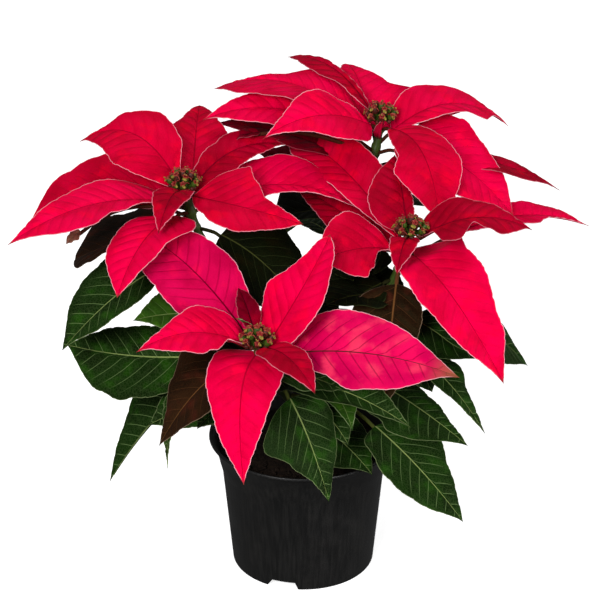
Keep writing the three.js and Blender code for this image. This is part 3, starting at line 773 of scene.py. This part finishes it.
# Outlines as (radius, height), as shares of a flower's radius.
CUP = [(0.35, 0), (0.75, 0.25), (0.98, 0.8), (0.95, 1.4), (0.78, 1.95), (0.66, 2.2), (0.2, 2.1)]
LIPS = [(0.2, -0.1), (0.66, 0.0), (0.84, 0.22), (0.74, 0.46), (0.54, 0.34), (0.42, 0.06), (0.05, 0.0)]
MOUTH = [(0.05, 0.05), (0.46, 0.12), (0.05, 0.2)]
GLAND = [(0.15, 0), (0.55, 0.1), (0.66, 0.4), (0.48, 0.52), (0.3, 0.3), (0.05, 0.25)]
ANTHER = [(0.08, -0.2), (0.42, 0.0), (0.45, 0.25), (0.1, 0.5)]
BUD = [(0.3, 0), (0.8, 0.4), (0.9, 0.9), (0.5, 1.4), (0.1, 1.55)]
DISC = [(0.3, 0.2), (3.6, 0.4), (4.2, 1.6), (3.0, 3.2), (0.3, 3.6)]

# Each ring of flowers: count, distance out, radius, height of the middle, lean.
FLOWER_RINGS = [(1, 0.0, 2.3, 9.0, 0.0), (5, 4.8, 2.2, 7.6, 0.35), (8, 8.6, 2.0, 5.0, 0.75)]
BUDS = 12
# The light and dark tones of a flower's parts, in the order of the mesh's material slots.
FLOWER_TONES = {
    "green": ((0.06, 0.11, 0.008), (0.016, 0.036, 0.004)),
    "ruddy": ((0.1, 0.018, 0.01), (0.025, 0.004, 0.004)),
    "pink": ((0.4, 0.07, 0.045), (0.22, 0.012, 0.015)),
    "red": ((0.3, 0.004, 0.008), (0.09, 0.003, 0.005)),
    "yellow": ((0.34, 0.27, 0.05), (0.16, 0.16, 0.015)),
}
RUDDY = {"left": 0.15, "back": 0.45, "right": 0.6, "front": 0.45}  # share of reddened flowers


def cluster_piece(name):
    """Small green cups with a fringed pink rim and a deep red mouth, each with a yellow gland."""
    rng = np.random.default_rng(list(STEMS).index(name))
    soup = Soup()
    top = PATHS[name].points[-1]
    green, ruddy, pink, red, yellow = range(len(FLOWER_TONES))

    def add_lathe(profile, origin, axis, sides, slot, lobes=0, depth=0.0):
        profile = np.array(profile, float)
        side = unit(np.cross(axis, [0.3, 0.7, 0.2]))
        other = np.cross(axis, side)
        angle = round_steps(sides)
        radius = profile[:, :1] * (1 + depth * np.cos(lobes * angle))
        spread = side * np.cos(angle)[:, None] + other * np.sin(angle)[:, None]
        rings = origin + profile[:, 1][:, None, None] * axis + radius[..., None] * spread
        soup.add(rings.reshape(-1, 3), closed_rings(len(profile), sides), slot)

    def add_thread(controls, radius, slot):
        line = Path(controls, 12)
        spots = np.linspace(0, line.length, 6)
        points, faces = tube(line.at(spots), line.heading(spots, 0.2), np.full(6, radius), 6,
                             np.array([0.31, 0.2, 0.9]))
        soup.add(points, faces, slot)

    def add_flower(origin, axis, outwards, size):
        body = ruddy if rng.random() < RUDDY[name] else green
        add_lathe(np.array(CUP) * size, origin, axis, 14, body, 5, 0.05)
        mouth = origin + 2.05 * size * axis
        add_lathe(np.array(LIPS) * size, mouth, axis, 20, pink, 5, 0.16)
        add_lathe(np.array(MOUTH) * size, mouth, axis, 12, red)
        gland_side = unit(outwards + 0.6 * rng.normal(size=3) * [1, 1, 0.2] + 0.01 * UP)
        gland_at = origin + 1.5 * size * axis + 0.85 * size * gland_side
        add_lathe(np.array(GLAND) * 0.8 * size, gland_at, unit(gland_side + 0.55 * axis), 12, yellow, 2, 0.25)
        for _ in range(rng.integers(1, 4)):
            tilted = unit(axis + 0.5 * rng.normal(size=3))
            end = mouth + (1.2 + 1.2 * rng.random()) * tilted
            add_thread([mouth, end], 0.2, red)
            add_lathe(ANTHER, end, tilted, 8, yellow if rng.random() < 0.5 else pink, 2, 0.3)
        curl = unit(np.cross(axis, gland_side))
        rim = mouth + 0.8 * size * curl
        add_thread([rim, rim + 1.6 * axis + 1.2 * curl, rim - 1.4 * axis + 2.4 * curl], 0.22, pink)

    add_lathe(DISC, top, UP, 14, green)
    for count, out, radius, height, tilt in FLOWER_RINGS:
        for i in range(count):
            angle = 2 * math.pi * (i + 0.3 * rng.random()) / count + out
            outwards = np.array([math.cos(angle), math.sin(angle), 0])
            axis = unit(UP + tilt * (0.8 + 0.4 * rng.random()) * outwards)
            origin = top + out * 0.8 * outwards + (height - 2.2) * UP
            add_thread([top + 0.35 * out * outwards + 1.5 * UP, origin + axis], 0.9, green)
            add_flower(origin, axis, outwards, radius * (0.85 + 0.3 * rng.random()))
    for i in range(BUDS):
        angle = 2 * math.pi * (i + 0.5 * rng.random()) / BUDS
        outwards = np.array([math.cos(angle), math.sin(angle), 0])
        bud_at = top + 7.2 * outwards + 1.6 * UP
        add_thread([top + 2 * outwards + 1.5 * UP, bud_at], 0.6, green)
        add_lathe(np.array(BUD) * (1.2 + 0.5 * rng.random()), bud_at, unit(outwards + 0.4 * UP), 10, ruddy)
    skins = [flower_material("cyathia_" + part, *tones) for part, tones in FLOWER_TONES.items()]
    return soup.make(f"cyathia_{name}_detail", skins)


def flower_material(name, light, dark):
    if name in bpy.data.materials:
        return bpy.data.materials[name]
    g = Graph(name)
    spots = g.noise(g.place(), 0.9, 4.0)
    colour = g.mix(g.ramp(spots, 0.35, 0.7), light, dark)
    return g.finish(colour, g.ramp(spots, 0.3, 0.7, 0.4, 0.6), g.times(spots, 0.25),
                    Specular_IOR_Level=0.25)


# ---- Pot and soil ----

POT_SIDES, DRAIN_SIDES = 160, 24
FOOT_CORNER, RIM_BEAD = 1.4, 0.4
POT_SHARP = 35
SOIL_GAP = 0.3
SOIL_SIDES, SOIL_RINGS = 96, 30
LUMP_WAVES, CRUMBS = 12, 420


def rounded(points, steps):
    """A smooth curve through the points."""
    points = np.array(points, float)
    ends = np.vstack([2 * points[0] - points[1], points, 2 * points[-1] - points[-2]])
    t = np.linspace(0, 1, steps, endpoint=False)[:, None]
    pieces = []
    for a, b, c, d in zip(ends, ends[1:], ends[2:], ends[3:]):
        pieces.append(b + 0.5 * t * (c - a + t * (2 * a - 5 * b + 4 * c - d + t * (3 * (b - c) + d - a))))
    return np.vstack(pieces + [points[-1:]])


def turned(profile, sides):
    """A lathe about Z: its points and faces. The profile runs anticlockwise from axis to axis."""
    inner = profile[1:-1]
    angle = round_steps(sides)
    ring = in_columns(np.cos(angle), np.sin(angle))
    points = [[*(radius * spot), height] for radius, height in inner for spot in ring]
    points += [[0, 0, profile[0][1]], [0, 0, profile[-1][1]]]
    faces = [tuple(reversed(face)) for face in quads(len(inner), sides, ring=True)]
    first, last = len(points) - 2, len(points) - 1
    start = (len(inner) - 1) * sides
    for i in range(sides):
        j = (i + 1) % sides
        faces.append((first, j, i))
        faces.append((last, start + i, start + j))
    return np.array(points, float), faces


def prism(corners, low, high):
    """A block between two heights, from the corners of its section, anticlockwise."""
    count = len(corners)
    points = [[x, y, z] for z in (low, high) for x, y in corners]
    faces = [tuple(reversed(range(count))), tuple(range(count, 2 * count))]
    faces += [(i, (i + 1) % count, (i + 1) % count + count, i + count) for i in range(count)]
    return np.array(points, float), faces


def pot_piece():
    wall = rounded(POT_OUTSIDE[1:], 6)
    foot, top = POT_OUTSIDE[0], POT_OUTSIDE[-1]
    corner = FOOT_CORNER
    angle = np.linspace(-math.pi / 2, 0, 6)
    foot_arc = [(foot[0] - corner + corner * math.cos(a), corner + corner * math.sin(a)) for a in angle]
    outside = foot_arc + [tuple(point) for point in wall]
    inside = [(radius - POT_WALL, height) for radius, height in reversed(outside[5:-1])
              if height > POT_FLOOR + 1]
    low_inside = np.interp(POT_FLOOR, [foot[1], POT_OUTSIDE[1][1]], [foot[0], POT_OUTSIDE[1][0]]) - POT_WALL
    profile = [(0, 0), (CHANNEL_INNER, 0), (CHANNEL_INNER + CHANNEL_RISE, CHANNEL_RISE),
               (CHANNEL_OUTER - CHANNEL_RISE, CHANNEL_RISE), (CHANNEL_OUTER, 0)]
    profile += outside
    profile += [(top[0] - RIM_BEAD / 3, POT_HEIGHT - RIM_BEAD), (top[0] - RIM_BEAD, POT_HEIGHT),
                (top[0] - POT_WALL + RIM_BEAD, POT_HEIGHT), (top[0] - POT_WALL, POT_HEIGHT - RIM_BEAD)]
    profile += inside + [(low_inside, POT_FLOOR), (0, POT_FLOOR)]
    soup = Soup()
    soup.add(*turned(profile, POT_SIDES))
    pot = soup.make("pot_detail", [pot_material()])

    cuts = Soup()
    for i in range(DRAIN_COUNT):
        around = round_steps(DRAIN_SIDES)
        middle = 2 * math.pi * i / DRAIN_COUNT
        corners = in_columns(DRAIN_AT * math.cos(middle) + DRAIN_RADIUS * np.cos(around),
                             DRAIN_AT * math.sin(middle) + DRAIN_RADIUS * np.sin(around))
        cuts.add(*prism(corners, -3, POT_FLOOR + 3))
    section = [(-NOTCH_SLOPED, -1), (NOTCH_STEEP, -1),
               (NOTCH_TOP / 2, NOTCH_RISE), (-NOTCH_TOP / 2, NOTCH_RISE)]
    outer = CHANNEL_OUTER - CHANNEL_RISE
    for i in range(NOTCH_COUNT):
        points, faces = prism(section, outer, outer + NOTCH_DEPTH)
        turn = math.radians(NOTCH_FIRST + 90 + 360 * i / NOTCH_COUNT)
        x, z, depth = points.T
        y = -depth
        points = in_columns(x * math.cos(turn) - y * math.sin(turn),
                            x * math.sin(turn) + y * math.cos(turn), z)
        cuts.add(points, faces)
    cutter = cuts.make("pot_cutter", [])
    cut = pot.modifiers.new("notches", "BOOLEAN")
    cut.object = cutter
    cut.operation = "DIFFERENCE"
    cut.solver = "EXACT"
    apply_modifiers(pot)
    bpy.data.objects.remove(cutter)
    pot.data.set_sharp_from_angle(angle=math.radians(POT_SHARP))
    return pot


def apply_modifiers(piece):
    graph = bpy.context.evaluated_depsgraph_get()
    mesh = bpy.data.meshes.new_from_object(piece.evaluated_get(graph))
    piece.modifiers.clear()
    piece.data = mesh


def pot_material():
    g = Graph("pot_plastic")
    place = g.place()
    streaks = g.noise(g.stretch(place, 1.0, 1.0, 0.02), 0.5, 5.0, 0.6)
    dust = g.noise(place, 0.05, 5.0, 0.6)
    grain = g.noise(place, 3.0, 3.0)
    colour = g.mix(g.ramp(streaks, 0.35, 0.7), (0.006, 0.006, 0.006), (0.013, 0.0125, 0.012))
    colour = g.mix(g.ramp(dust, 0.5, 0.8, 0.0, 0.4), colour, (0.022, 0.020, 0.018))
    roughness = g.math("ADD", g.ramp(streaks, 0.3, 0.7, 0.36, 0.48), g.ramp(dust, 0.4, 0.8, 0.0, 0.15))
    height = g.math("ADD", g.times(grain, 0.02), g.times(streaks, 0.08))
    return g.finish(colour, roughness, height, Specular_IOR_Level=0.4)


def soil_piece():
    """Dark peat with crumbs, heaped a little towards the trunk."""
    rng = np.random.default_rng(7)
    soup = Soup()
    bottom = POT_FLOOR + SOIL_GAP
    radii, heights = zip(*POT_OUTSIDE)

    def inside(height):
        return np.interp(height, heights, radii) - POT_WALL - SOIL_GAP

    edge = SOIL_TOP - SOIL_CROWN
    profile = [(0, bottom), (inside(bottom), bottom), (inside(66), 66), (inside(72), 72),
               (inside(edge), edge)]
    for share in np.linspace(1, 0.02, SOIL_RINGS)[1:]:
        radius = share * inside(edge)
        rise = SOIL_CROWN * smoothstep(inside(edge), SOIL_CROWN_RADIUS, radius)
        profile.append((radius, edge + rise))
    profile.append((0, SOIL_TOP))
    points, faces = turned(profile, SOIL_SIDES)
    lumps = np.zeros(len(points))
    for _ in range(LUMP_WAVES):
        wave = rng.normal(size=2) * rng.choice([0.12, 0.3, 0.6])
        lumps += np.sin(points[:, :2] @ wave + 6.28 * rng.random())
    on_top = (points[:, 2] > edge - 0.5) & (np.hypot(points[:, 0], points[:, 1]) < inside(edge) - 1)
    points[on_top, 2] += 0.22 * lumps[on_top]
    soup.add(points, faces)
    for _ in range(CRUMBS):
        spread = inside(edge) - 4
        spot = spread * math.sqrt(rng.random())
        angle = 2 * math.pi * rng.random()
        size = 0.5 + 1.6 * rng.random() ** 2
        add_crumb(soup, rng, [spot * math.cos(angle), spot * math.sin(angle), SOIL_TOP - 0.3], size)
    return soup.make("soil_detail", [soil_material()])


def add_crumb(soup, rng, centre, size):
    ball = bmesh.new()
    bmesh.ops.create_icosphere(ball, subdivisions=1, radius=1)
    points = np.array([vertex.co[:] for vertex in ball.verts])
    faces = [tuple(vertex.index for vertex in face.verts) for face in ball.faces]
    ball.free()
    points *= size * (0.7 + 0.6 * rng.random((len(points), 1))) * (0.6 + 0.7 * rng.random(3))
    soup.add(points + centre, faces)


def soil_material():
    g = Graph("soil_peat")
    place = g.place()
    clods = g.noise(place, 0.35, 6.0, 0.65)
    fibres = g.noise(g.stretch(place, 1.0, 0.3, 1.0), 2.2, 4.0)
    colour = g.mix(g.ramp(clods, 0.3, 0.7), (0.007, 0.004, 0.003), (0.022, 0.013, 0.008))
    colour = g.mix(g.ramp(fibres, 0.62, 0.75, 0.0, 0.5), colour, (0.06, 0.038, 0.024))
    height = g.math("ADD", g.times(clods, 1.2), g.times(fibres, 0.3))
    return g.finish(colour, g.ramp(clods, 0.3, 0.7, 0.95, 0.85), height, Specular_IOR_Level=0.15)


# ---- Scene ----

CAMERA_LENS, SENSOR_WIDTH = 178.7, 36
CAMERA_PLACE = (-0.002, -1.657, 1.020)
CAMERA_DOWN = 26.76  # degrees
SKY_LIGHT = 0.10
FLOOR_REACH = 12000
MIDDLE = (0, 0, 0.18)


def add_camera():
    data = bpy.data.cameras.new("camera")
    data.lens = CAMERA_LENS
    data.sensor_width = SENSOR_WIDTH
    camera = bpy.data.objects.new("camera", data)
    camera.location = CAMERA_PLACE
    camera.rotation_euler = (math.radians(90 - CAMERA_DOWN), 0, 0)
    bpy.context.scene.collection.objects.link(camera)
    bpy.context.scene.camera = camera


def add_light(name, place, target, size, power):
    data = bpy.data.lights.new(name, "AREA")
    data.shape = "DISK"
    data.size = size
    data.energy = power
    light = bpy.data.objects.new(name, data)
    light.location = place
    aim = Vector(target) - Vector(place)
    light.rotation_mode = "QUATERNION"
    light.rotation_quaternion = Vector((0, 0, -1)).rotation_difference(aim)
    bpy.context.scene.collection.objects.link(light)


def add_stage():
    soup = Soup()
    reach = FLOOR_REACH
    corners = [[-reach, -reach, 0], [reach, -reach, 0], [reach, reach, 0], [-reach, reach, 0]]
    soup.add(np.array(corners, float), [(0, 1, 2, 3)])
    g = Graph("floor_white")
    white = g.mix(g.noise(g.place(), 0.01), (0.93, 0.93, 0.93), (0.95, 0.95, 0.95))
    g.finish(white, 0.9, Emission_Color=(1, 1, 1), Emission_Strength=0.75)
    floor = soup.make("floor", [g.material])
    floor.visible_diffuse = False
    floor.visible_glossy = False
    floor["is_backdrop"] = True

    world = bpy.context.scene.world or bpy.data.worlds.new("world")
    bpy.context.scene.world = world
    world.use_nodes = True
    sky = world.node_tree.nodes["Background"]
    ray = world.node_tree.nodes.new("ShaderNodeLightPath")
    strength = world.node_tree.nodes.new("ShaderNodeMapRange")
    strength.inputs["To Min"].default_value = SKY_LIGHT
    strength.inputs["To Max"].default_value = 1
    world.node_tree.links.new(ray.outputs["Is Camera Ray"], strength.inputs["Value"])
    world.node_tree.links.new(strength.outputs["Result"], sky.inputs["Strength"])
    sky.inputs["Color"].default_value = (1, 1, 1, 1)
    bpy.context.scene.view_settings.view_transform = "Standard"


add_camera()
add_stage()
add_light("key", (-0.7, -1.7, 1.3), MIDDLE, 0.9, 34)
add_light("fill", (1.0, -1.6, 0.9), MIDDLE, 1.0, 14)
add_light("top", (0.1, 0.3, 1.8), MIDDLE, 1.0, 6)
add_light("side", (1.8, -0.3, 0.35), (0, 0, 0.05), 0.9, 9)

SKINS = {key: blade_material(key + "_blade", colours) for key, colours in BLADE_COLOURS.items()}

hand_in(pot_piece(), "pot", "pot")
hand_in(soil_piece(), "soil", "soil")
hand_in(stem_piece(), "stem", "stem")
for stem_name in STEMS:
    hand_in(cluster_piece(stem_name), "flower", "cyathia_" + stem_name)
add_blades(BRACTS, "bract", "bract_{}_detail", "bract_{}")
add_blades(LEAVES, "leaf", "leaf_{}_detail", "leaf_{}")
add_blades(EXTRA_BRACTS, "bract", "small_bract_{}")
add_blades(EXTRA_LEAVES, "leaf", "small_leaf_{}")

boxes = {"cad": cad_box, "visual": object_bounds()}
